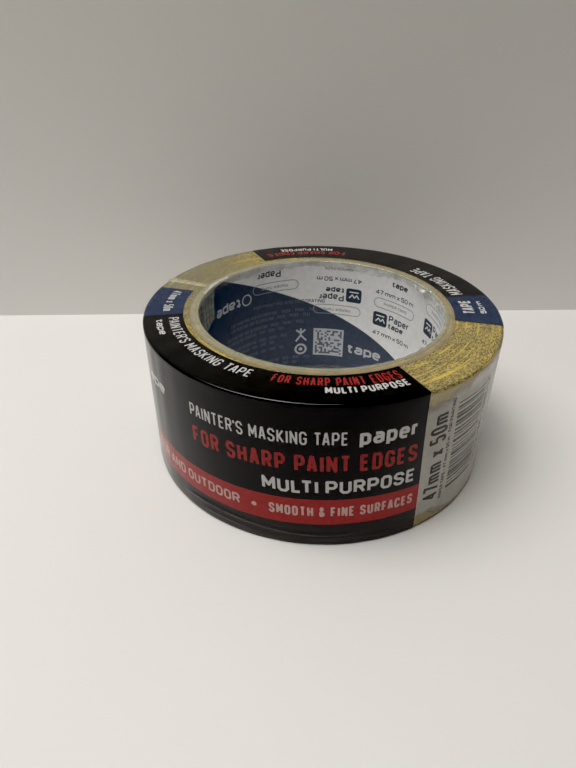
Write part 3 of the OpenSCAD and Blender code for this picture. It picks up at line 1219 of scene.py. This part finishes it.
# two signs: a ring with a dot, and a figure of strokes
snow.add(ring_stroke(2.6, 2.1, 0.8), bore_text(105.5, 7.8))
snow.add([disc(0.8)], bore_text(101.6, 10.4))
FIGURE = [
    [(0.6, 0.4), (2.6, 3.0), (4.8, 0.6)],
    [(2.6, 3.0), (2.6, 6.0)],
    [(0.8, 5.4), (2.6, 3.9), (4.4, 5.4)],
]
for points in FIGURE:
    snow.add(stroke_shapes(points, 0.7), bore_text(105.5, 13.6))

for ink in (slate, snow, faint, chalk, grey):
    ink.build()

# ---------- the table, the wall, the light and the camera

WALL_Y = 93.0                   # the wall stands this far behind the roll's axis
WALL_TURN = 5.3                 # and turns away to the right by this angle
WALL_SHADE_HIGH = 140.0               # painted shade: the wall's colour darkens from its foot up to this height
STAGE_SIZE = 1500.0


def stage_look(name, colour, shade, high=None):
    """Pale matte surface that only shows its front. high is its colour at the height where its painted shade
    stops darkening it, where that differs.
    """
    look = Look(name)
    cloud = look.fine(0.012, 3)
    tone = look.mix(cloud, colour, shade)
    if high:
        # painted shade: darker with height, paler at the foot where the table's bounce light would fall
        tone = look.mix(look.between(look.height_mm(), 0.0, WALL_SHADE_HIGH), tone, high)
    shader = look.node("BsdfPrincipled", {"Base Color": tone, "Roughness": 0.6, "Specular IOR Level": 0.3})
    clear = look.node("BsdfTransparent")
    behind = look.node("NewGeometry").outputs["Backfacing"]
    return look.end(look.node("MixShader", {0: behind, 1: shader.outputs[0], 2: clear.outputs[0]}))


EDGE = STAGE_SIZE / 2
RISE = math.tan(math.radians(WALL_TURN)) * EDGE
TABLE_LOOK = stage_look("stage_table", (0.84, 0.825, 0.80), (0.81, 0.795, 0.77))
WALL_LOOK = stage_look("stage_wall", (0.90, 0.88, 0.85), (0.88, 0.86, 0.83), (0.70, 0.685, 0.64))
table_corners = [(x, y, 0) for x, y in rectangle(-EDGE, -EDGE, EDGE, EDGE)]
wall_corners = [(x, WALL_Y + x / EDGE * RISE, z) for x, z in rectangle(-EDGE, 0, EDGE, STAGE_SIZE)]
floor = make_object("floor", table_corners, [(0, 1, 2, 3)], [TABLE_LOOK], flat=True)
wall = make_object("wall", wall_corners, [(0, 1, 2, 3)], [WALL_LOOK], flat=True)

world = bpy.data.worlds.new("soft_room")
world.use_nodes = True
room = world.node_tree.nodes
dim = room["Background"]
dim.inputs["Color"].default_value = (1.0, 0.985, 0.955, 1)
dim.inputs["Strength"].default_value = 0.10
pale_room = room.new("ShaderNodeBackground")    # what is seen past the edges of the stage
pale_room.inputs["Color"].default_value = (0.60, 0.59, 0.57, 1)
seen = room.new("ShaderNodeMixShader")
socket(seen, 0, room.new("ShaderNodeLightPath").outputs["Is Camera Ray"])
socket(seen, 1, dim.outputs[0])
socket(seen, 2, pale_room.outputs[0])
socket(room["World Output"], "Surface", seen.outputs[0])
bpy.context.scene.world = world


def lamp(kind, name, place, power, colour):
    """A lamp at a place in mm, turned towards the roll."""
    data = bpy.data.lights.new(name, kind)
    data.energy = power
    data.color = colour
    made = new_object(name, data)
    made.location = Vector(place) * MM
    made.rotation_euler = (Vector(place) - Vector((0, 0, ROLL_H / 2))).to_track_quat("Z", "Y").to_euler()
    return data


ceiling = lamp("SUN", "ceiling", (-150, -180, 972), 1.17, (1.0, 0.975, 0.94))
ceiling.angle = math.radians(34)
window = lamp("AREA", "window", (-250, -40, 600), 2.1, (1.0, 0.985, 0.97))
window.shape = "SQUARE"
window.size = 350 * MM

CAMERA_PLACE = (0, -165.03, 124.20)
CAMERA_YAW, CAMERA_PITCH, CAMERA_ROLL = -3.571, 32.837, 0.175
CAMERA_LENS = 27.075

camera_data = bpy.data.cameras.new("camera")
camera_data.lens = CAMERA_LENS
camera_data.clip_start = 0.005
camera = new_object("camera", camera_data)
yaw, pitch, roll = (math.radians(a) for a in (CAMERA_YAW, CAMERA_PITCH, CAMERA_ROLL))
ahead = Vector((math.sin(yaw) * math.cos(pitch), math.cos(yaw) * math.cos(pitch), -math.sin(pitch)))
right = Vector((math.cos(yaw), -math.sin(yaw), 0))
up = right.cross(ahead)
turned_right = right * math.cos(roll) + up * math.sin(roll)
turned_up = up * math.cos(roll) - right * math.sin(roll)
axes = Matrix((turned_right, turned_up, -ahead)).transposed().to_4x4()
camera.matrix_world = Matrix.Translation(Vector(CAMERA_PLACE) * MM) @ axes
bpy.context.scene.camera = camera

settings = bpy.context.scene.view_settings
settings.view_transform = "Standard"
settings.look = "None"
settings.use_curve_mapping = True
settings.curve_mapping.black_level = (0.0287, 0.0280, 0.0262)
settings.curve_mapping.update()
